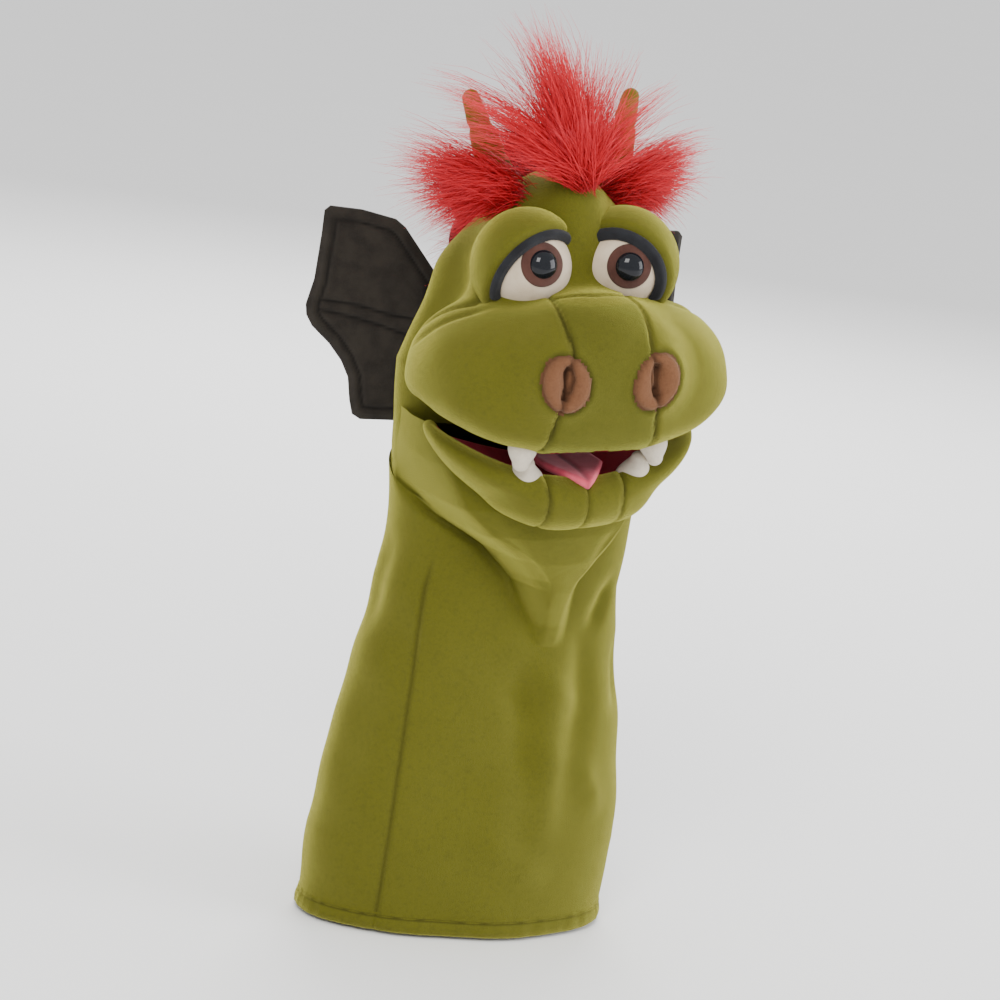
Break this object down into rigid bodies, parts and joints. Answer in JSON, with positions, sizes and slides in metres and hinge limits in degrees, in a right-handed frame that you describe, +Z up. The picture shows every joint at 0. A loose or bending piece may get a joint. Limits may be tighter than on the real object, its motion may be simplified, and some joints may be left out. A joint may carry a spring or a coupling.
{
  "type": "moving mouth puppet",
  "caption": "Plush dragon hand puppet: a forearm sleeve, a turning neck, a nodding head with a hinged mouth and tongue, felt wings, soft horns and red fur.",
  "frame": {"origin": "centre of the sleeve's opening, on the plane of the hem", "axes": "+Z up the sleeve towards the head, -Y the way the face looks, +X to the puppet's own left"},
  "size_m": [0.2332, 0.2027, 0.5312],
  "materials": {
    "plush_green": "short olive green pile",
    "plush_bridge": "short pile, a darker olive",
    "foam": "soft polyurethane foam and fibre filling",
    "board": "stiff sheet inside the mouth",
    "mouth_lining": "dark red plush",
    "pocket_lining": "thin woven lining",
    "eye_felt": "off-white felt",
    "iris_brown": "brown felt",
    "pupil_black": "glossy black",
    "washer": "moulded white",
    "lash_felt": "black felt",
    "nostril_plush": "brown short pile",
    "horn_plush": "brownish olive short pile",
    "fur_red": "long red pile",
    "felt_black": "black felt, quilted",
    "tooth_felt": "off-white stuffed plush",
    "tongue_felt": "pink felt"
  },
  "bodies": {
    "sleeve": {"hem_band": "plush_green", "sleeve_front_panel": "plush_green", "sleeve_right_panel": "plush_green", "sleeve_left_panel": "plush_green", "sleeve_back_panel": "plush_green"},
    "neck": {"throat_gusset": "plush_green", "neck_right_panel": "plush_green", "neck_left_panel": "plush_green", "back_yoke": "plush_green"},
    "head": {"muzzle_center_panel": "plush_bridge", "muzzle_right_cheek": "plush_green", "muzzle_left_cheek": "plush_green", "muzzle_foam": "foam", "forehead_panel": "plush_green", "head_back_panel": "plush_green", "crown_stuffing": "foam", "upper_mouth_board": "board", "palate_lining": "mouth_lining", "finger_pocket": "pocket_lining", "mouth_hinge_strip": "mouth_lining", "eye_white_right": "eye_felt", "eye_white_left": "eye_felt", "iris_right": "iris_brown", "iris_left": "iris_brown", "pupil_right": "pupil_black", "pupil_left": "pupil_black", "eye_washer_right": "washer", "eye_washer_left": "washer", "eyelid_right": "plush_green", "eyelid_left": "plush_green", "lash_strip_right": "lash_felt", "lash_strip_left": "lash_felt", "nostril_right": "nostril_plush", "nostril_left": "nostril_plush", "horn_right": "horn_plush", "horn_left": "horn_plush", "forelock": "fur_red", "fur_tuft_right": "fur_red", "fur_tuft_left": "fur_red", "nape_crest": "felt_black", "nape_mane": "fur_red", "upper_teeth": "tooth_felt"},
    "jaw": {"lower_mouth_board": "board", "mouth_floor_lining": "mouth_lining", "thumb_pocket": "pocket_lining", "chin_panel_right": "plush_green", "chin_panel_left": "plush_green", "jaw_side_right": "plush_green", "jaw_side_left": "plush_green", "jaw_foam": "foam", "lower_teeth": "tooth_felt"},
    "tongue": {"tongue": "tongue_felt"},
    "wing_right": {"wing_front_felt_right": "felt_black", "wing_wadding_right": "foam", "wing_back_felt_right": "felt_black"},
    "wing_left": {"wing_front_felt_left": "felt_black", "wing_wadding_left": "foam", "wing_back_felt_left": "felt_black"}
  },
  "joints": [
    {"name": "neck_turn", "type": "hinge", "parent": "sleeve", "child": "neck", "pos_m": [0, 0, 0.1895], "axis": [0, 0, 1], "range_deg": [-35, 35]},
    {"name": "head_nod", "type": "hinge", "parent": "neck", "child": "head", "pos_m": [0, 0.005, 0.29], "axis": [0.9962, 0, 0.0872], "range_deg": [-20, 20]},
    {"name": "jaw_open", "type": "hinge", "parent": "head", "child": "jaw", "pos_m": [-0.00113, -0.025, 0.30295], "axis": [0.9962, 0, 0.0872], "range_deg": [-3, 32]},
    {"name": "tongue_lift", "type": "hinge", "parent": "jaw", "child": "tongue", "pos_m": [-0.0007, -0.03948, 0.29804], "axis": [-0.9962, 0, -0.0872], "range_deg": [0, 8]},
    {"name": "wing_right_flap", "type": "hinge", "parent": "neck", "child": "wing_right", "pos_m": [-0.044, 0.04, 0.33], "axis": [0, 0, -1], "range_deg": [-20, 20]},
    {"name": "wing_left_flap", "type": "hinge", "parent": "neck", "child": "wing_left", "pos_m": [0.044, 0.04, 0.33], "axis": [0, 0, 1], "range_deg": [-20, 20]}
  ]
}
